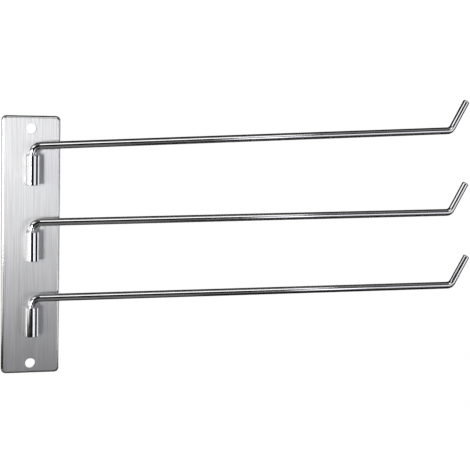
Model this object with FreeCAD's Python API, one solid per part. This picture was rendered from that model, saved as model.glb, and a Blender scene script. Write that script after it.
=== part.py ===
import FreeCAD, Part
import math
import os

# Swing arm towel bar: an upright wall plate with three pivot sleeves, and a bent rod that swings in each.
# Millimetres. The origin is the middle of the plate's wall side, +Z is up, and the room is on the -Y side.
# At rest the arms point to the right (+X), close to the wall.

# --- back plate ---
PLATE_WIDTH = 46.0
PLATE_HEIGHT = 205.0
PLATE_THICKNESS = 3.0
PLATE_CORNER_RADIUS = 4.0
PLATE_EDGE_ROUND = 2.0            # round-over of the room side's edge
SCREW_HOLE_DIAMETER = 8.0
TOP_HOLE_FROM_TOP_EDGE = 10.0
LOWER_HOLE_FROM_LOWER_EDGE = 8.0

# --- row of sleeves ---
TOP_SLEEVE_FROM_TOP_EDGE = 42.0   # plate's top edge to the middle of the highest sleeve
SLEEVE_SPACING = 60.0
SLEEVE_HEIGHT = 23.5
SLEEVE_RIM_WALL = 1.25            # wall left outside the recesses at both ends of the sleeve
SLEEVE_EDGE_ROUND = 0.4
SLEEVE_TO_PLATE_GAP = 0.3         # filled by the weld
WELD_HALF_WIDTH = 4.2             # where the weld meets the plate
WELD_HOLLOW = 0.3                 # how far the weld's flanks dip in
WELD_END_SETBACK = 1.5            # weld stops this far from both ends of the sleeve

# --- rod of the swing arm ---
ROD_DIAMETER = 6.0
ELBOW_BEND_RADIUS = 6.5           # bend radii are those of the rod's centre line
ARM_LENGTH = 354.0                # pivot axis to the corner where the tip turns up
TIP_BEND_RADIUS = 6.0
TIP_LENGTH = 28.5                 # corner to the end of the rod
TIP_ANGLE = 62.0                  # degrees above level
TIP_END_ROUND = 1.0
LEG_ABOVE_SHOULDER = 0.2          # straight stretch between the shoulder and the elbow's bend

# Each arm as it hangs: its name, how far it rises towards the tip, and how far it is swung off the wall
# (both in degrees).
ARMS = (
    ("top", 2.8, 0.0),
    ("middle", 1.25, 0.8),
    ("bottom", 1.0, 2.2),
)

# --- pivot ---
SHOULDER_STEP = 0.5               # the rod's foot is turned down by this much all round
RUNNING_CLEARANCE = 0.05          # between the foot and its bushes, all round
SHOULDER_CLEARANCE = 0.05         # between the rod's shoulder and the thrust washer
BUSH_WALL = 1.4
BUSH_FLANGE_WIDTH = 0.6           # flange beyond the bush's barrel
BUSH_FLANGE_THICKNESS = 0.8
UPPER_BUSH_LENGTH = 8.0
LOWER_BUSH_LENGTH = 7.0
WASHER_THICKNESS = 0.5
WASHER_BORE_CLEARANCE = 0.1
WASHER_RIM_CLEARANCE = 0.25       # washer's rim to the wall of the sleeve's recess
CLIP_WASHER_CLEARANCE = 0.15      # end play between the clip washer and the lower bush
CLIP_THICKNESS = 0.6
CLIP_GROOVE_PLAY = 0.1            # groove is wider than the clip by this
CLIP_GROOVE_DEPTH = 0.5
CLIP_BAND_WIDTH = 1.0             # outer band of the clip
CLIP_RELIEF = 0.9                 # gap between the band and the groove, away from the clip's teeth
CLIP_TOOTH_WIDTH = 1.6
CLIP_MOUTH_WIDTH = 3.0
FOOT_BELOW_GROOVE = 1.0
FOOT_CHAMFER = 0.4
CAP_THICKNESS = 1.2
CAP_TO_FOOT_GAP = 0.4
CAP_EDGE_ROUND = 0.3

# --- sizes that follow from those above ---
ROD_RADIUS = ROD_DIAMETER / 2
FOOT_RADIUS = ROD_RADIUS - SHOULDER_STEP
BUSH_BORE_RADIUS = FOOT_RADIUS + RUNNING_CLEARANCE
BUSH_RADIUS = BUSH_BORE_RADIUS + BUSH_WALL
FLANGE_RADIUS = BUSH_RADIUS + BUSH_FLANGE_WIDTH
SLEEVE_RADIUS = FLANGE_RADIUS + SLEEVE_RIM_WALL
WASHER_BORE_RADIUS = FOOT_RADIUS + WASHER_BORE_CLEARANCE
WASHER_RADIUS = FLANGE_RADIUS - WASHER_RIM_CLEARANCE
GROOVE_RADIUS = FOOT_RADIUS - CLIP_GROOVE_DEPTH
CLIP_BAND_BORE_RADIUS = GROOVE_RADIUS + CLIP_RELIEF
CLIP_RADIUS = CLIP_BAND_BORE_RADIUS + CLIP_BAND_WIDTH

PLATE_FRONT_Y = -PLATE_THICKNESS
PIVOT_TO_PLATE = SLEEVE_RADIUS + SLEEVE_TO_PLATE_GAP
PIVOT_Y = PLATE_FRONT_Y - PIVOT_TO_PLATE
TOP_SLEEVE_Z = PLATE_HEIGHT / 2 - TOP_SLEEVE_FROM_TOP_EDGE

# Heights inside a pivot, from the middle of its sleeve.
SLEEVE_TOP = SLEEVE_HEIGHT / 2
SLEEVE_FOOT = -SLEEVE_TOP
THRUST_WASHER_TOP = SLEEVE_TOP + WASHER_THICKNESS
SHOULDER = THRUST_WASHER_TOP + SHOULDER_CLEARANCE
CAP_TOP = SLEEVE_FOOT + CAP_THICKNESS
FOOT_END = CAP_TOP + CAP_TO_FOOT_GAP
GROOVE_LOW = FOOT_END + FOOT_BELOW_GROOVE
CLIP_TOP = GROOVE_LOW + CLIP_GROOVE_PLAY + CLIP_THICKNESS
CLIP_WASHER_TOP = CLIP_TOP + WASHER_THICKNESS
LOWER_FLANGE_LOW = CLIP_WASHER_TOP + CLIP_WASHER_CLEARANCE
LOWER_RECESS_TOP = LOWER_FLANGE_LOW + BUSH_FLANGE_THICKNESS

SAME_PLACE = 1e-6                 # two places nearer than this are one
UP = FreeCAD.Vector(0, 0, 1)
TOWARDS_WALL = FreeCAD.Vector(0, 1, 0)
CENTRE = FreeCAD.Vector(0, 0, 0)


def at_height(z):
    """Point on the pivot axis of a pivot drawn about the origin."""
    return FreeCAD.Vector(0, 0, z)


def rod_stock(radius, low, high):
    """Upright cylinder on the pivot axis, between two heights."""
    return Part.makeCylinder(radius, high - low, at_height(low), UP)


def ring(bore_radius, radius, low, high):
    """Upright ring on the pivot axis, between two heights."""
    return rod_stock(radius, low, high).cut(rod_stock(bore_radius, low, high))


def edges_of_circle(shape, radius, height):
    """The edges of a shape that lie on one level circle about the pivot axis."""
    found = []
    for edge in shape.Edges:
        curve = edge.Curve
        if not isinstance(curve, Part.Circle):
            continue
        off_centre = (curve.Center - at_height(height)).Length
        if off_centre < SAME_PLACE and abs(curve.Radius - radius) < SAME_PLACE:
            found.append(edge)
    return found


# --- back plate ---

def back_plate():
    """Plate with round corners, its room-side edge rounded over, and one screw hole near each end."""
    low_corner = FreeCAD.Vector(-PLATE_WIDTH / 2, PLATE_FRONT_Y, -PLATE_HEIGHT / 2)
    blank = Part.makeBox(PLATE_WIDTH, PLATE_THICKNESS, PLATE_HEIGHT, low_corner)
    corner_edges = [edge for edge in blank.Edges if abs(edge.Length - PLATE_THICKNESS) < SAME_PLACE]
    plate = blank.makeFillet(PLATE_CORNER_RADIUS, corner_edges)
    front_edges = [
        edge for edge in plate.Edges
        if all(abs(vertex.Y - PLATE_FRONT_Y) < SAME_PLACE for vertex in edge.Vertexes)
    ]
    plate = plate.makeFillet(PLATE_EDGE_ROUND, front_edges)
    hole_heights = (
        PLATE_HEIGHT / 2 - TOP_HOLE_FROM_TOP_EDGE,
        -PLATE_HEIGHT / 2 + LOWER_HOLE_FROM_LOWER_EDGE,
    )
    for z in hole_heights:
        start = FreeCAD.Vector(0, PLATE_FRONT_Y, z)
        plate = plate.cut(Part.makeCylinder(SCREW_HOLE_DIAMETER / 2, PLATE_THICKNESS, start, TOWARDS_WALL))
    return plate


# --- the pieces of one pivot, drawn about the middle of its sleeve ---

def weld():
    """Weld along the back of the sleeve: hollow flanks that run from the plate in under the tube's wall."""
    neck_half_width = WELD_HALF_WIDTH / 2
    neck_y = PIVOT_TO_PLATE - SLEEVE_RADIUS / 2
    waist_half_width = (WELD_HALF_WIDTH + neck_half_width) / 2 - WELD_HOLLOW
    waist_y = (PIVOT_TO_PLATE + neck_y) / 2 + WELD_HOLLOW
    low = SLEEVE_FOOT + WELD_END_SETBACK

    def point(x, y):
        return FreeCAD.Vector(x, y, low)

    right_foot, left_foot = point(WELD_HALF_WIDTH, PIVOT_TO_PLATE), point(-WELD_HALF_WIDTH, PIVOT_TO_PLATE)
    right_neck, left_neck = point(neck_half_width, neck_y), point(-neck_half_width, neck_y)
    outline = Part.Wire([
        Part.Arc(right_foot, point(waist_half_width, waist_y), right_neck).toShape(),
        Part.LineSegment(right_neck, left_neck).toShape(),
        Part.Arc(left_neck, point(-waist_half_width, waist_y), left_foot).toShape(),
        Part.LineSegment(left_foot, right_foot).toShape(),
    ])
    return Part.Face(outline).extrude(UP * (SLEEVE_HEIGHT - 2 * WELD_END_SETBACK))


def sleeve():
    """Tube with round rims, a recess at each end for a bush's flange, and its weld."""
    tube = rod_stock(SLEEVE_RADIUS, SLEEVE_FOOT, SLEEVE_TOP)
    rims = [
        edge for height in (SLEEVE_FOOT, SLEEVE_TOP)
        for edge in edges_of_circle(tube, SLEEVE_RADIUS, height)
    ]
    body = tube.makeFillet(SLEEVE_EDGE_ROUND, rims).fuse(weld())
    body = body.cut(rod_stock(BUSH_RADIUS, SLEEVE_FOOT, SLEEVE_TOP))
    body = body.cut(rod_stock(FLANGE_RADIUS, SLEEVE_TOP - BUSH_FLANGE_THICKNESS, SLEEVE_TOP))
    return body.cut(rod_stock(FLANGE_RADIUS, SLEEVE_FOOT, LOWER_RECESS_TOP))


def flanged_bush(flange_low, barrel_low, barrel_high):
    """Bearing bush: a barrel with a flange at one end."""
    flange_high = flange_low + BUSH_FLANGE_THICKNESS
    flange = rod_stock(FLANGE_RADIUS, flange_low, flange_high)
    barrel = rod_stock(BUSH_RADIUS, barrel_low, barrel_high)
    bore = rod_stock(BUSH_BORE_RADIUS, min(flange_low, barrel_low), max(flange_high, barrel_high))
    return barrel.fuse(flange).cut(bore).removeSplitter()


def upper_bush():
    flange_low = SLEEVE_TOP - BUSH_FLANGE_THICKNESS
    return flanged_bush(flange_low, SLEEVE_TOP - UPPER_BUSH_LENGTH, flange_low)


def lower_bush():
    return flanged_bush(LOWER_FLANGE_LOW, LOWER_RECESS_TOP, LOWER_FLANGE_LOW + LOWER_BUSH_LENGTH)


def thrust_washer():
    return ring(WASHER_BORE_RADIUS, WASHER_RADIUS, SLEEVE_TOP, THRUST_WASHER_TOP)


def clip_washer():
    return ring(WASHER_BORE_RADIUS, WASHER_RADIUS, CLIP_TOP, CLIP_WASHER_TOP)


def retaining_clip():
    """Spring clip: an open band with three teeth that grip the groove of the rod's foot."""
    low = CLIP_TOP - CLIP_THICKNESS
    clip = ring(CLIP_BAND_BORE_RADIUS, CLIP_RADIUS, low, CLIP_TOP)
    tooth_reach = CLIP_BAND_BORE_RADIUS + CLIP_BAND_WIDTH / 2
    for turn in (0, 90, 180):
        tooth = Part.makeBox(tooth_reach, CLIP_TOOTH_WIDTH, CLIP_THICKNESS,
                             FreeCAD.Vector(0, -CLIP_TOOTH_WIDTH / 2, low))
        tooth.rotate(CENTRE, UP, turn)
        clip = clip.fuse(tooth)
    mouth = Part.makeBox(CLIP_MOUTH_WIDTH, CLIP_RADIUS, CLIP_THICKNESS,
                         FreeCAD.Vector(-CLIP_MOUTH_WIDTH / 2, -CLIP_RADIUS, low))
    return clip.cut(rod_stock(GROOVE_RADIUS, low, CLIP_TOP)).cut(mouth).removeSplitter()


def sleeve_cap():
    """Disc pressed into the sleeve's lower end, with a rounded lower rim."""
    disc = rod_stock(FLANGE_RADIUS, SLEEVE_FOOT, CAP_TOP)
    return disc.makeFillet(CAP_EDGE_ROUND, edges_of_circle(disc, FLANGE_RADIUS, SLEEVE_FOOT))


# --- swing arm ---

def bend_between(corner, incoming, outgoing, bend_radius):
    """Start, middle and end of the arc that rounds a corner between two directions."""
    turn = incoming.getAngle(outgoing)
    setback = bend_radius * math.tan(turn / 2)
    start, end = corner - incoming * setback, corner + outgoing * setback
    inward = outgoing - incoming
    inward.normalize()
    middle = corner + inward * (bend_radius / math.cos(turn / 2) - bend_radius)
    return start, middle, end


def direction_above_level(angle):
    """Unit direction in the arm's upright plane, towards the tip."""
    radians = math.radians(angle)
    return FreeCAD.Vector(math.cos(radians), 0, math.sin(radians))


def rod_path(rise):
    """Centre line of the bent rod above its shoulder: leg, elbow, arm, tip bend and tip."""
    along_arm, along_tip = direction_above_level(rise), direction_above_level(TIP_ANGLE)
    elbow_setback = ELBOW_BEND_RADIUS * math.tan(math.radians(90 - rise) / 2)
    leg_start = at_height(SHOULDER)
    elbow = at_height(SHOULDER + LEG_ABOVE_SHOULDER + elbow_setback)
    tip_corner = elbow + along_arm * ARM_LENGTH
    tip_end = tip_corner + along_tip * TIP_LENGTH
    elbow_start, elbow_middle, elbow_end = bend_between(elbow, UP, along_arm, ELBOW_BEND_RADIUS)
    turn_start, turn_middle, turn_end = bend_between(tip_corner, along_arm, along_tip, TIP_BEND_RADIUS)
    pieces = (
        Part.LineSegment(leg_start, elbow_start),
        Part.Arc(elbow_start, elbow_middle, elbow_end),
        Part.LineSegment(elbow_end, turn_start),
        Part.Arc(turn_start, turn_middle, turn_end),
        Part.LineSegment(turn_end, tip_end),
    )
    return Part.Wire([piece.toShape() for piece in pieces]), tip_end


def bent_rod(rise):
    """Rod swept along its path, with the edge of the tip's end rounded."""
    path, tip_end = rod_path(rise)
    section = Part.Wire([Part.makeCircle(ROD_RADIUS, at_height(SHOULDER), UP)])
    rod = path.makePipeShell([section], True, True)
    end_rim = min(rod.Edges, key=lambda edge: (edge.CenterOfMass - tip_end).Length)
    return rod.makeFillet(TIP_END_ROUND, [end_rim])


def turned_foot():
    """Lower end of the rod, turned down to run in the bushes, with the clip's groove and a chamfered end."""
    foot = rod_stock(FOOT_RADIUS, FOOT_END, SHOULDER)
    foot = foot.makeChamfer(FOOT_CHAMFER, edges_of_circle(foot, FOOT_RADIUS, FOOT_END))
    groove = ring(GROOVE_RADIUS, FOOT_RADIUS + SHOULDER_STEP, GROOVE_LOW, CLIP_TOP)
    return foot.cut(groove)


def swing_arm(rise):
    return bent_rod(rise).fuse(turned_foot())


# --- assembly ---

def placed(shape, index, stand_off):
    """A pivot piece moved to its sleeve's place on the plate and turned off the wall about the pivot axis."""
    copy = shape.copy()
    copy.rotate(CENTRE, UP, -stand_off)
    copy.translate(FreeCAD.Vector(0, PIVOT_Y, TOP_SLEEVE_Z - index * SLEEVE_SPACING))
    return copy


def towel_bar():
    """Every piece by name, in its place at rest."""
    pieces = {"back_plate": back_plate()}
    fixed_pieces = {
        "sleeve": sleeve(),
        "upper_bush": upper_bush(),
        "thrust_washer": thrust_washer(),
        "lower_bush": lower_bush(),
        "sleeve_cap": sleeve_cap(),
    }
    turning_pieces = {
        "clip_washer": clip_washer(),
        "retaining_clip": retaining_clip(),
    }
    for index, (name, rise, stand_off) in enumerate(ARMS):
        for piece, shape in fixed_pieces.items():
            pieces[name + "_" + piece] = placed(shape, index, 0)
        for piece, shape in turning_pieces.items():
            pieces[name + "_" + piece] = placed(shape, index, stand_off)
        pieces[name + "_swing_arm"] = placed(swing_arm(rise), index, stand_off)
    return pieces


os.makedirs("parts", exist_ok=True)
for node, shape in towel_bar().items():
    shape.exportStep("parts/" + node + ".step")
    print(node, "solids", len(shape.Solids), "valid", shape.isValid(), "volume", round(shape.Volume, 2))
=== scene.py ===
import math

import bpy
import numpy as np
from mathutils import Matrix, Vector


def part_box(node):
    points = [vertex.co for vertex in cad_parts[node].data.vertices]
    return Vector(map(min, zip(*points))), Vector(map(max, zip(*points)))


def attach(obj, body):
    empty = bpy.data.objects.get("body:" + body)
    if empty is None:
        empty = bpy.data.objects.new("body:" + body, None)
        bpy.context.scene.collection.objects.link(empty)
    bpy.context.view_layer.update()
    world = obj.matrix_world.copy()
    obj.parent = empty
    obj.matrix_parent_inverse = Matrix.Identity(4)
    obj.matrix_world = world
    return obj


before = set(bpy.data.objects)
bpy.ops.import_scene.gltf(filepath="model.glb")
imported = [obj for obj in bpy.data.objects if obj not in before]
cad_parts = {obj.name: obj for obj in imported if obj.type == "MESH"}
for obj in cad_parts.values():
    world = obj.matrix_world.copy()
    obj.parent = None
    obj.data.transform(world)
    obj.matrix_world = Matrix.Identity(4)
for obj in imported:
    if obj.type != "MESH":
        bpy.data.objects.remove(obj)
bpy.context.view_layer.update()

# Swing arm towel bar in brushed and polished stainless steel, on a white background.
# Metres. +X runs along the arms, +Y into the wall, +Z up, as in the frame.

ARM_NAMES = ("top", "middle", "bottom")
MM = 0.001


# --- places that the frame gives ---

def middle_of(node):
    """Middle of a piece's box."""
    low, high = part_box(node)
    return (low + high) / 2


def size_of(node):
    """Width, depth and height of a piece's box."""
    low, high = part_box(node)
    return high - low


PLATE_LOW, PLATE_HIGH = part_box("back_plate")
PLATE_FRONT_Y = PLATE_LOW.y
PIVOT_X = middle_of("top_thrust_washer").x
PIVOT_Y = middle_of("top_thrust_washer").y
SLEEVE_RADIUS = size_of("top_sleeve").x / 2


# --- finishes: a small kit for building them out of shader nodes ---

PLATE_CORNER_RADIUS = 4 * MM
PLATE_RIM_WIDTH = 2 * MM                    # rounded edge of the plate
RIM_SEAM = (-0.1 * MM, 0.3 * MM)            # where the rim's finish starts and is full, from the seam
RING_WAVE_LENGTH = math.pi / 10             # of Blender's ring waves, in pattern cells
USUAL_NOISE = (0.3, 0.7)                    # range in which nearly all of a noise pattern lies
NARROW_NOISE = (0.36, 0.64)                 # same for a firmer contrast
FULL_RANGE = (0.0, 1.0)


class Finish:
    """A material under construction: one Principled shader, and functions that add patterns to it."""

    def __init__(self, name, colour, metallic, roughness):
        self.material = bpy.data.materials.new(name)
        self.material.use_nodes = True
        self.nodes = self.material.node_tree.nodes
        self.links = self.material.node_tree.links
        self.shader = self.nodes["Principled BSDF"]
        self.shader.inputs["Base Color"].default_value = (*colour, 1.0)
        self.shader.inputs["Metallic"].default_value = metallic
        self.shader.inputs["Roughness"].default_value = roughness
        self.coordinates = self.nodes.new("ShaderNodeTexCoord").outputs["Object"]

    def vector_step(self, operation, vector, value=None):
        """Vector after one operation, with a second vector where the operation needs it."""
        node = self.nodes.new("ShaderNodeVectorMath")
        node.operation = operation
        self.links.new(vector, node.inputs[0])
        if value is not None:
            node.inputs[1].default_value = value
        return node.outputs["Value" if operation == "LENGTH" else "Vector"]

    def stretched(self, cells, origin=(0.0, 0.0, 0.0)):
        """Coordinates about an origin, with this many pattern cells per metre along X, Y and Z."""
        return self.vector_step("MULTIPLY", self.vector_step("SUBTRACT", self.coordinates, origin), cells)

    def noise(self, cells, detail):
        """Cloudy pattern from 0 to 1, stretched by its cell counts."""
        noise = self.nodes.new("ShaderNodeTexNoise")
        noise.inputs["Scale"].default_value = 1.0
        noise.inputs["Detail"].default_value = detail
        self.links.new(self.stretched(cells), noise.inputs["Vector"])
        return noise.outputs["Fac"]

    def pivot_rings(self, spacing, distortion, detail):
        """Waves from 0 to 1 on circles about the pivot's axis, this far apart."""
        wave = self.nodes.new("ShaderNodeTexWave")
        wave.wave_type = "RINGS"
        wave.rings_direction = "Z"
        wave.inputs["Scale"].default_value = 1.0
        wave.inputs["Distortion"].default_value = distortion
        wave.inputs["Detail"].default_value = detail
        cells = RING_WAVE_LENGTH / spacing
        centred = self.stretched((cells, cells, cells), (PIVOT_X, PIVOT_Y, 0.0))
        self.links.new(centred, wave.inputs["Vector"])
        return wave.outputs["Fac"]

    def between(self, value, low, high, span=USUAL_NOISE):
        """A pattern's span, spread between two values."""
        spread = self.nodes.new("ShaderNodeMapRange")
        spread.inputs["From Min"].default_value, spread.inputs["From Max"].default_value = span
        spread.inputs["To Min"].default_value = low
        spread.inputs["To Max"].default_value = high
        self.links.new(value, spread.inputs["Value"])
        return spread.outputs["Result"]

    def times(self, first, second):
        """Product of two patterns."""
        node = self.nodes.new("ShaderNodeMath")
        node.operation = "MULTIPLY"
        self.links.new(first, node.inputs[0])
        self.links.new(second, node.inputs[1])
        return node.outputs[0]

    def mixed(self, share, pattern, value):
        """Runs from the pattern to the value as the share goes from 0 to 1."""
        mix = self.nodes.new("ShaderNodeMix")
        self.links.new(share, mix.inputs["Factor"])
        self.links.new(pattern, mix.inputs["A"])
        mix.inputs["B"].default_value = value
        return mix.outputs["Result"]

    def on_the_plates_rim(self):
        """1 on the plate's rounded rim and 0 inside it: the distance from a rectangle that is smaller
        than the plate by the corner radius all round."""
        half = (PLATE_HIGH - PLATE_LOW) / 2
        rectangle = (half.x - PLATE_CORNER_RADIUS, 0.0, half.z - PLATE_CORNER_RADIUS)
        flat = self.vector_step("MULTIPLY", self.coordinates, (1.0, 0.0, 1.0))
        beyond = self.vector_step("SUBTRACT", self.vector_step("ABSOLUTE", flat), rectangle)
        distance = self.vector_step("LENGTH", self.vector_step("MAXIMUM", beyond, (0.0, 0.0, 0.0)))
        seam = PLATE_CORNER_RADIUS - PLATE_RIM_WIDTH
        return self.between(distance, 0.0, 1.0, [seam + offset for offset in RIM_SEAM])

    def colour_from(self, value, dark, light):
        """Base colour between a dark and a light one, by a value from 0 to 1."""
        mix = self.nodes.new("ShaderNodeMix")
        mix.data_type = "RGBA"
        self.links.new(value, mix.inputs["Factor"])
        mix.inputs["A"].default_value = (*dark, 1.0)
        mix.inputs["B"].default_value = (*light, 1.0)
        self.links.new(mix.outputs["Result"], self.shader.inputs["Base Color"])

    def roughness_from(self, value):
        """Roughness by a pattern."""
        self.links.new(value, self.shader.inputs["Roughness"])

    def relief_from(self, value, height):
        """Bumps of this height, in metres."""
        bump = self.nodes.new("ShaderNodeBump")
        bump.inputs["Strength"].default_value = 1.0
        bump.inputs["Distance"].default_value = height
        self.links.new(value, bump.inputs["Height"])
        self.links.new(bump.outputs["Normal"], self.shader.inputs["Normal"])

    def sheen_across(self, direction, anisotropy):
        """Reflections spread along this direction, as fine grooves square to it spread them."""
        vector = self.nodes.new("ShaderNodeCombineXYZ")
        for axis, length in zip("XYZ", direction):
            vector.inputs[axis].default_value = length
        self.links.new(vector.outputs["Vector"], self.shader.inputs["Tangent"])
        self.shader.inputs["Anisotropic"].default_value = anisotropy


# --- the object's finishes ---

RIM_ROUGHNESS = 0.15              # of the plate's smooth rim
RING_SPACING = 0.20735 * MM       # of the tool's rings on discs and washers
RING_SHADE = 0.86                 # brightness of the rings' low places, of the metal's own
RING_ROUGHNESS = (0.8, 1.25)      # roughness of the rings' low and high places, of the metal's own


def brushed_plate_finish():
    """Stainless sheet brushed along its length: fine upright grooves that lighten and darken the
    metal, wider bands that are a little more or less matt, and a smoother, brighter rim."""
    finish = Finish("brushed_plate", colour=(0.74, 0.74, 0.75), metallic=1.0, roughness=0.36)
    grooves = finish.noise(cells=(5200.0, 5200.0, 60.0), detail=3.0)
    streaks = finish.noise(cells=(1900.0, 1900.0, 22.0), detail=2.0)
    bands = finish.noise(cells=(600.0, 600.0, 9.0), detail=2.0)
    tone = finish.times(finish.between(grooves, low=0.4, high=1.0),
                        finish.between(streaks, low=0.0, high=1.0, span=NARROW_NOISE))
    sheen = finish.between(bands, low=0.38, high=0.50, span=NARROW_NOISE)
    finish.colour_from(tone, dark=(0.65, 0.65, 0.66), light=(0.845, 0.845, 0.85))
    finish.roughness_from(finish.mixed(finish.on_the_plates_rim(), sheen, RIM_ROUGHNESS))
    finish.relief_from(grooves, height=0.02 * MM)
    finish.sheen_across((1.0, 0.0, 0.0), anisotropy=0.93)
    return finish.material


def polished_rod_finish():
    """Polished bar: mirror bright, with faint drawing lines along it and a few dull smears."""
    finish = Finish("polished_rod", colour=(0.82, 0.82, 0.825), metallic=1.0, roughness=0.07)
    lines = finish.noise(cells=(12.0, 2600.0, 2600.0), detail=2.0)
    smears = finish.noise(cells=(45.0, 140.0, 140.0), detail=3.0)
    tone = finish.between(lines, low=0.0, high=1.0)
    finish.colour_from(tone, dark=(0.74, 0.74, 0.75), light=(0.84, 0.84, 0.84))
    finish.roughness_from(finish.between(smears, low=0.05, high=0.13))
    finish.relief_from(lines, height=0.002 * MM)
    return finish.material


def polished_sleeve_finish():
    """Polished tube: mirror bright, with faint turning lines round it."""
    finish = Finish("polished_sleeve", colour=(0.82, 0.82, 0.825), metallic=1.0, roughness=0.08)
    turning = finish.noise(cells=(60.0, 60.0, 5200.0), detail=2.0)
    smears = finish.noise(cells=(160.0, 160.0, 90.0), detail=3.0)
    tone = finish.between(turning, low=0.0, high=1.0)
    finish.colour_from(tone, dark=(0.75, 0.75, 0.76), light=(0.84, 0.84, 0.84))
    finish.roughness_from(finish.between(smears, low=0.06, high=0.14))
    finish.relief_from(turning, height=0.002 * MM)
    return finish.material


def turned_disc_finish(name, colour, roughness):
    """Flat steel disc or washer with fine rings left by the tool, about the pivot's axis."""
    finish = Finish(name, colour, metallic=1.0, roughness=roughness)
    rings = finish.pivot_rings(RING_SPACING, distortion=0.6, detail=2.0)
    tone = finish.between(rings, low=0.0, high=1.0, span=FULL_RANGE)
    smoothest, roughest = (roughness * share for share in RING_ROUGHNESS)
    finish.colour_from(tone, dark=[channel * RING_SHADE for channel in colour], light=colour)
    finish.roughness_from(finish.between(rings, smoothest, roughest, span=FULL_RANGE))
    finish.relief_from(rings, height=0.004 * MM)
    return finish.material


def bush_plastic_finish():
    """Off-white bearing plastic with a soft moulded skin."""
    finish = Finish("bush_plastic", colour=(0.80, 0.79, 0.75), metallic=0.0, roughness=0.42)
    mottle = finish.noise(cells=(900.0, 900.0, 900.0), detail=3.0)
    tone = finish.between(mottle, low=0.0, high=1.0)
    finish.colour_from(tone, dark=(0.74, 0.73, 0.68), light=(0.82, 0.81, 0.77))
    finish.roughness_from(finish.between(mottle, low=0.36, high=0.5))
    finish.relief_from(mottle, height=0.01 * MM)
    return finish.material


def weld_bead_finish():
    """Weld metal, a little duller than the tube and faintly straw-coloured from the heat."""
    finish = Finish("weld_bead", colour=(0.70, 0.68, 0.64), metallic=1.0, roughness=0.26)
    tint = finish.noise(cells=(420.0, 420.0, 260.0), detail=3.0)
    pits = finish.noise(cells=(3000.0, 3000.0, 3000.0), detail=2.0)
    tone = finish.between(tint, low=0.0, high=1.0)
    finish.colour_from(tone, dark=(0.62, 0.58, 0.50), light=(0.72, 0.715, 0.70))
    finish.roughness_from(finish.between(pits, low=0.2, high=0.36))
    finish.relief_from(pits, height=0.01 * MM)
    return finish.material


def spring_steel_finish():
    """Dark oiled spring steel, stamped from strip."""
    finish = Finish("spring_steel", colour=(0.30, 0.30, 0.32), metallic=1.0, roughness=0.34)
    mottle = finish.noise(cells=(1400.0, 1400.0, 1400.0), detail=3.0)
    tone = finish.between(mottle, low=0.0, high=1.0)
    finish.colour_from(tone, dark=(0.20, 0.20, 0.23), light=(0.36, 0.36, 0.38))
    finish.roughness_from(finish.between(mottle, low=0.26, high=0.44))
    finish.relief_from(mottle, height=0.006 * MM)
    return finish.material


def dress(node, material):
    """Puts a finish on a piece of the frame."""
    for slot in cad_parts[node].material_slots:
        slot.link = "OBJECT"
        slot.material = material


def dress_frame():
    """Puts a finish on every piece of the frame."""
    plastic = bush_plastic_finish()
    washer = turned_disc_finish("washer_steel", colour=(0.66, 0.66, 0.67), roughness=0.3)
    finishes = {
        "sleeve": polished_sleeve_finish(),
        "sleeve_cap": turned_disc_finish("polished_cap", colour=(0.80, 0.80, 0.805), roughness=0.12),
        "upper_bush": plastic,
        "lower_bush": plastic,
        "thrust_washer": washer,
        "clip_washer": washer,
        "retaining_clip": spring_steel_finish(),
        "swing_arm": polished_rod_finish(),
    }
    dress("back_plate", brushed_plate_finish())
    for name in ARM_NAMES:
        for piece, material in finishes.items():
            dress(name + "_" + piece, material)


# --- weld beads, one along each flank of each sleeve ---

BEAD_TOE_ON_SLEEVE = math.radians(45.0)     # how far round from the sleeve's side the bead starts
BEAD_TOE_ON_PLATE = 0.85                    # where it meets the plate, in sleeve radii from the pivot
BEAD_OVERLAP = 0.2 * MM                     # how far both toes sink into the metal
BEAD_THICKNESS = 1.5 * MM
BEAD_SINK = 0.35 * MM                       # middle of the bead behind the line between its toes
BEAD_END_SETBACK = 1.3 * MM                 # from the ends of the sleeve
BEAD_END_POWER = 24                         # the higher, the blunter are the bead's ends
BEAD_RIPPLE_SPACING = 0.85 * MM
BEAD_RIPPLE_DEPTH = 0.11                    # share of the bead's size
BEAD_RIPPLE_LAG = 0.55 * MM                 # how far the middle of each ripple runs ahead of its ends
BEAD_ROWS, BEAD_AROUND = 200, 24


def closed_tube(name, rings, material):
    """Mesh through a stack of rings of points, with a point in the middle of each end ring that
    closes it. The faces are turned round where the volume that they enclose comes out negative."""
    count, around = rings.shape[:2]
    ends = np.stack([rings[0].mean(axis=0), rings[-1].mean(axis=0)])
    points = np.concatenate([rings.reshape(-1, 3), ends])
    first_end, last_end = count * around, count * around + 1
    column = np.arange(around)
    beside = (column + 1) % around
    row = np.arange(count - 1)[:, None] * around
    corners = (row + column, row + beside, row + beside + around, row + column + around)
    quads = np.stack(np.broadcast_arrays(*corners), axis=-1).reshape(-1, 4)
    last_row = (count - 1) * around
    first_fan = np.stack([beside, column, np.full(around, first_end)], axis=-1)
    last_fan = np.stack([last_row + column, last_row + beside, np.full(around, last_end)], axis=-1)
    triangles = np.concatenate([quads[:, [0, 1, 2]], quads[:, [0, 2, 3]], first_fan, last_fan])
    a, b, c = (points[triangles[:, corner]] for corner in range(3))
    faces = quads.tolist() + first_fan.tolist() + last_fan.tolist()
    if np.einsum("ij,ij->i", a, np.cross(b, c)).sum() < 0:
        faces = [face[::-1] for face in faces]
    mesh = bpy.data.meshes.new(name)
    mesh.from_pydata(points.tolist(), [], faces)
    mesh.polygons.foreach_set("use_smooth", np.ones(len(faces), dtype=bool))
    mesh.materials.append(material)
    piece = bpy.data.objects.new(name, mesh)
    bpy.context.scene.collection.objects.link(piece)
    return piece


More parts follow.
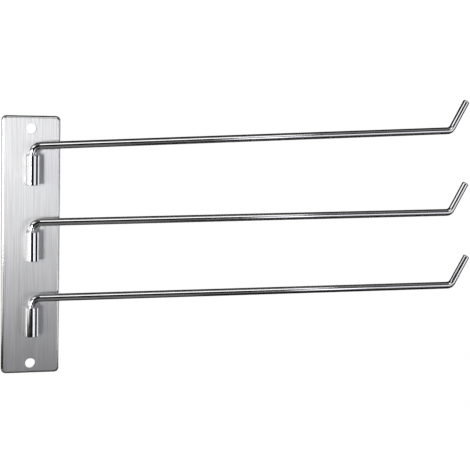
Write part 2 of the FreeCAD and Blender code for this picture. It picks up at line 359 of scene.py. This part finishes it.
def weld_bead(sleeve, side, material):
    """Bead between sleeve and plate. Its section is an ellipse: the long axis joins the toe on the
    sleeve to the toe on the plate, and the short axis faces out of the corner. Along the bead the
    section is scaled by sqrt(1 - s^24), where s runs from -1 to 1, so that both ends close, and by
    1 plus the ripple depth times |sin(pi * (z + lag * cos(angle)) / spacing)|, which lays the metal
    in overlapping scales."""
    low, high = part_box(sleeve)
    toe_angle = BEAD_TOE_ON_SLEEVE
    sleeve_toe = SLEEVE_RADIUS * np.array([math.cos(toe_angle), math.sin(toe_angle)])
    plate_toe = np.array([SLEEVE_RADIUS * BEAD_TOE_ON_PLATE, PLATE_FRONT_Y - PIVOT_Y])
    along_face = plate_toe - sleeve_toe
    face_length = np.linalg.norm(along_face)
    along_face /= face_length
    outward = np.array([along_face[1], -along_face[0]])
    centre = (sleeve_toe + plate_toe) / 2 - outward * BEAD_SINK

    s = np.linspace(-1.0, 1.0, BEAD_ROWS + 2)[1:-1, None]
    angle = np.linspace(0.0, 2.0 * math.pi, BEAD_AROUND, endpoint=False)[None, :]
    z = s * ((high.z - low.z) / 2 - BEAD_END_SETBACK)
    phase = (z + BEAD_RIPPLE_LAG * np.cos(angle)) / BEAD_RIPPLE_SPACING
    ripple = 1.0 + BEAD_RIPPLE_DEPTH * np.abs(np.sin(math.pi * phase))
    size = np.sqrt(1.0 - s ** BEAD_END_POWER) * ripple
    across = size * np.cos(angle) * BEAD_THICKNESS / 2
    along = size * np.sin(angle) * (face_length / 2 + BEAD_OVERLAP)
    x = side * (centre[0] + across * outward[0] + along * along_face[0]) + PIVOT_X
    y = centre[1] + across * outward[1] + along * along_face[1] + PIVOT_Y
    height = np.broadcast_to(z + (low.z + high.z) / 2, x.shape)
    name = sleeve + ("_right" if side > 0 else "_left") + "_weld_bead"
    piece = closed_tube(name, np.stack([x, y, height], axis=-1), material)
    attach(piece, "wall_bracket")


def weld_beads():
    """Six beads, to the left and to the right of each sleeve."""
    material = weld_bead_finish()
    for name in ARM_NAMES:
        for side in (-1, 1):
            weld_bead(name + "_sleeve", side, material)


# --- camera ---

CAMERA_YAW = 15.457               # degrees that it is turned to the right of straight at the wall
CAMERA_PITCH = 7.033              # degrees that it looks down
CAMERA_ROLL = 1.512
CAMERA_DISTANCE = 1.01033
CAMERA_TARGET = Vector((0.16777, 0.0, 0.00714))
CAMERA_CLIP = (0.01, 50.0)        # nearest and furthest thing that it sees
FOCAL_PIXELS = 1220.98            # focal length in pixels of the photograph's frame
FRAME_PIXELS = 470
SENSOR_WIDTH = 36.0               # millimetres


def camera():
    """The camera, from its turn, its distance and the point that it looks at."""
    yaw, pitch, roll = (math.radians(a) for a in (CAMERA_YAW, CAMERA_PITCH, CAMERA_ROLL))
    forward = Vector((math.sin(yaw) * math.cos(pitch),
                      math.cos(yaw) * math.cos(pitch),
                      -math.sin(pitch)))
    level = Vector((math.cos(yaw), -math.sin(yaw), 0.0))
    upright = level.cross(forward)
    right = math.cos(roll) * level + math.sin(roll) * upright
    up = math.cos(roll) * upright - math.sin(roll) * level
    data = bpy.data.cameras.new("camera")
    data.sensor_width = SENSOR_WIDTH
    data.lens = FOCAL_PIXELS / FRAME_PIXELS * SENSOR_WIDTH
    data.clip_start, data.clip_end = CAMERA_CLIP
    holder = bpy.data.objects.new("camera", data)
    place = CAMERA_TARGET - forward * CAMERA_DISTANCE
    turn = Matrix((right, up, -forward)).transposed().to_4x4()
    holder.matrix_world = Matrix.Translation(place) @ turn
    bpy.context.scene.collection.objects.link(holder)
    bpy.context.scene.camera = holder


# --- studio ---

# Screens round the set, which only the metal sees. Left, right, front, back, floor and ceiling:
ROOM = (-1.75, 2.05, -1.85, 1.35, -1.1, 1.55)
BACK_OPENING = (-0.1, 1.2, -0.8, 0.4)            # left, right, low, high
DARK_LEVEL, GREY_LEVEL = 0.01, 0.17              # how bright the screens are
FOOT_HEIGHT = -0.72                              # below this the upright screens are brighter
FOOT_LEVEL = {"left": 0.4, "front": 0.22, "right": 0.1}
CLOTH_ABOVE_FLOOR = 0.02
GREY_IN_FRONT_OF = -0.2                          # cloth and ceiling are dark behind this
DARK_CLOTH = (0.36, 1.5, -1.1, -0.2)             # left, right, front, back

FLOOR_REACH = 40.0
FLOOR_FADE = (1.15, 2.6)                         # distances over which the floor turns white
FLOOR_MATT, FLOOR_GLOW = 0.3, 0.72
WORLD_SEEN, WORLD_LIGHT = 1.0, 0.02              # how bright the world looks, and how much it lights


def flat_sheet(name, corners, material):
    """A flat four-cornered sheet of the studio."""
    mesh = bpy.data.meshes.new(name)
    mesh.from_pydata(corners, [], [(0, 1, 2, 3)])
    mesh.materials.append(material)
    sheet = bpy.data.objects.new(name, mesh)
    bpy.context.scene.collection.objects.link(sheet)
    return sheet


def upright_sheet(name, line, heights, material):
    """A sheet that stands on a line from one X, Y to another, between two heights."""
    (x0, y0, x1, y1), (z0, z1) = line, heights
    return flat_sheet(name, [(x0, y0, z0), (x1, y1, z0), (x1, y1, z1), (x0, y0, z1)], material)


def level_sheet(name, sides, z, material):
    """A sheet that lies between its left, right, front and back sides."""
    x0, x1, y0, y1 = sides
    return flat_sheet(name, [(x0, y0, z), (x1, y0, z), (x1, y1, z), (x0, y1, z)], material)


def seen_or_not(nodes, links, seen, unseen):
    """One shader for the rays that see the background, straight or in metal or glass, and another
    for the rest."""
    path = nodes.new("ShaderNodeLightPath")
    total = path.outputs["Is Camera Ray"]
    for kind in ("Is Glossy Ray", "Is Transmission Ray"):
        both = nodes.new("ShaderNodeMath")
        both.operation = "MAXIMUM"
        links.new(total, both.inputs[0])
        links.new(path.outputs[kind], both.inputs[1])
        total = both.outputs[0]
    mix = nodes.new("ShaderNodeMixShader")
    links.new(total, mix.inputs["Fac"])
    links.new(unseen, mix.inputs[1])
    links.new(seen, mix.inputs[2])
    return mix.outputs[0]


def bare_material(name):
    """An empty material, its nodes and links, and its output's socket."""
    material = bpy.data.materials.new(name)
    material.use_nodes = True
    nodes, links = material.node_tree.nodes, material.node_tree.links
    nodes.clear()
    return material, nodes, links, nodes.new("ShaderNodeOutputMaterial").inputs["Surface"]


def matt(nodes, level):
    """A grey that only scatters light."""
    node = nodes.new("ShaderNodeBsdfDiffuse")
    node.inputs["Color"].default_value = (level, level, level, 1.0)
    return node.outputs[0]


def floor_material():
    """Pale floor that grows as white as the world away from the object, and takes its shadow."""
    material, nodes, links, out = bare_material("floor")
    length = nodes.new("ShaderNodeVectorMath")
    length.operation = "LENGTH"
    links.new(nodes.new("ShaderNodeTexCoord").outputs["Object"], length.inputs[0])
    fade = nodes.new("ShaderNodeMapRange")
    fade.interpolation_type = "SMOOTHSTEP"
    fade.inputs["From Min"].default_value, fade.inputs["From Max"].default_value = FLOOR_FADE
    fade.inputs["To Min"].default_value, fade.inputs["To Max"].default_value = FLOOR_GLOW, WORLD_SEEN
    links.new(length.outputs["Value"], fade.inputs["Value"])
    light = nodes.new("ShaderNodeEmission")
    links.new(fade.outputs["Result"], light.inputs["Strength"])
    both = nodes.new("ShaderNodeAddShader")
    links.new(matt(nodes, FLOOR_MATT), both.inputs[0])
    links.new(light.outputs[0], both.inputs[1])
    links.new(seen_or_not(nodes, links, both.outputs[0], matt(nodes, FLOOR_MATT)), out)
    return material


def screen_material(name, level):
    """A screen of one brightness all over."""
    material, nodes, links, out = bare_material(name)
    light = nodes.new("ShaderNodeEmission")
    light.inputs["Strength"].default_value = level
    links.new(light.outputs[0], out)
    return material


def screens():
    """Dark and grey screens round the set, which only the metal sees: they give it its dark lines.
    The one at the back has an opening that shows the white background."""
    dark = screen_material("dark_screen", DARK_LEVEL)
    grey = screen_material("grey_screen", GREY_LEVEL)
    left, right, front, back, low, high = ROOM
    gap_left, gap_right, gap_low, gap_high = BACK_OPENING
    in_front, behind = (left, right, front, GREY_IN_FRONT_OF), (left, right, GREY_IN_FRONT_OF, back)
    cloth_z = low + CLOTH_ABOVE_FLOOR
    sheets = [
        upright_sheet("back_screen_left", (left, back, gap_left, back), (low, high), dark),
        upright_sheet("back_screen_right", (gap_right, back, right, back), (low, high), dark),
        upright_sheet("back_screen_low", (gap_left, back, gap_right, back), (low, gap_low), dark),
        upright_sheet("back_screen_high", (gap_left, back, gap_right, back), (gap_high, high), dark),
        level_sheet("front_ceiling", in_front, high, grey),
        level_sheet("back_ceiling", behind, high, dark),
        level_sheet("front_cloth", in_front, cloth_z, grey),
        level_sheet("back_cloth", behind, cloth_z, dark),
        level_sheet("dark_cloth", DARK_CLOTH, cloth_z + CLOTH_ABOVE_FLOOR, dark),
    ]
    for name, line in (("left", (left, front, left, back)),
                       ("right", (right, front, right, back)),
                       ("front", (left, front, right, front))):
        foot = screen_material(name + "_screen_foot", FOOT_LEVEL[name])
        sheets.append(upright_sheet(name + "_screen_foot", line, (low, FOOT_HEIGHT), foot))
        sheets.append(upright_sheet(name + "_screen", line, (FOOT_HEIGHT, high), dark))
    for sheet in sheets:
        sheet.visible_camera = sheet.visible_shadow = sheet.visible_diffuse = False


def white_world():
    """A world that is white where it is seen, and hardly lights anything."""
    world = bpy.data.worlds.new("studio")
    bpy.context.scene.world = world
    world.use_nodes = True
    nodes, links = world.node_tree.nodes, world.node_tree.links
    nodes.clear()
    levels = []
    for level in (WORLD_SEEN, WORLD_LIGHT):
        background = nodes.new("ShaderNodeBackground")
        background.inputs["Color"].default_value = (1.0, 1.0, 1.0, 1.0)
        background.inputs["Strength"].default_value = level
        levels.append(background.outputs[0])
    out = nodes.new("ShaderNodeOutputWorld")
    links.new(seen_or_not(nodes, links, *levels), out.inputs["Surface"])


def surroundings():
    """Pale floor below, screens round the set, and a white world."""
    sides = (-FLOOR_REACH, FLOOR_REACH, -FLOOR_REACH, FLOOR_REACH)
    level_sheet("floor", sides, ROOM[4], floor_material())
    screens()
    white_world()


# --- lamps ---

WATTS_PER_BRIGHTNESS = math.pi              # for each square metre of an area lamp
NEUTRAL, COOL = (1.0, 1.0, 1.0), (0.93, 0.94, 1.0)
STANDING_LAMPS = (
    # name, first and last azimuth, distance, low and high edge, brightness, tint
    ("key", (-33.5, -27.0), 1.5, (-0.205, 0.45), 21.5, NEUTRAL),
    ("near_left", (-26.5, -17.0), 1.5, (-0.30, 0.2), 1.2, NEUTRAL),
    ("left_wall", (-70.0, -36.0), 1.2, (-0.29, 0.5), 1.2, NEUTRAL),
    ("left_strip", (-95.0, -72.0), 1.2, (-0.33, 0.5), 1.25, NEUTRAL),
    ("back_left", (-140.0, -103.0), 1.2, (-0.33, 0.5), 1.1, NEUTRAL),
    ("right_key", (23.0, 27.0), 1.45, (-0.5, -0.1), 1.6, COOL),
    ("fill", (21.0, 55.0), 1.5, (-0.42, 0.25), 1.1, COOL),
    ("right_strip", (95.0, 135.0), 1.2, (-0.4, 0.5), 1.2, NEUTRAL),
)


def direction(azimuth, elevation):
    """Unit vector by its azimuth (0 towards the room, 90 along +X) and its elevation, in degrees."""
    a, e = math.radians(azimuth), math.radians(elevation)
    return Vector((math.sin(a) * math.cos(e), -math.cos(a) * math.cos(e), math.sin(e)))


def softbox(name, aim, azimuth, elevation, distance, width, height, radiance, tint=NEUTRAL):
    """A rectangular lamp that faces the point it aims at, with a stated brightness all over."""
    data = bpy.data.lights.new(name, "AREA")
    data.shape = "RECTANGLE"
    data.size, data.size_y = width, height
    data.energy = radiance * width * height * WATTS_PER_BRIGHTNESS
    data.color = tint
    holder = bpy.data.objects.new(name, data)
    away = direction(azimuth, elevation)
    holder.location = Vector(aim) + away * distance
    holder.rotation_mode = "QUATERNION"
    holder.rotation_quaternion = away.to_track_quat("Z", "Y")
    holder.visible_camera = False
    bpy.context.scene.collection.objects.link(holder)


def standing_lamp(name, azimuths, distance, heights, radiance, tint):
    """A softbox that stands upright and faces the plate, between two azimuths and two heights."""
    (first, last), (low, high) = azimuths, heights
    width = 2 * distance * math.tan(math.radians(last - first) / 2)
    softbox(name, (0.0, 0.0, (low + high) / 2), (first + last) / 2, 0.0, distance, width, high - low,
            radiance, tint)


def lamps():
    """Soft lamps. The key's low edge is what makes the plate darker towards its foot. The lamps on
    the left whiten the left of the sleeves, those on the right draw their narrow white lines, and
    the two above draw the white lines along the arms and their tips."""
    for lamp in STANDING_LAMPS:
        standing_lamp(*lamp)
    softbox("overhead", aim=(0.31, 0.0, 0.0), azimuth=0.0, elevation=40.0, distance=1.3,
            width=0.58, height=0.52, radiance=1.6)
    softbox("upper_left", aim=(0.36, 0.0, 0.05), azimuth=-62.0, elevation=33.0, distance=1.5,
            width=1.1, height=0.4, radiance=1.2)


dress_frame()
weld_beads()
camera()
surroundings()
lamps()
bpy.context.scene.view_settings.view_transform = "Standard"
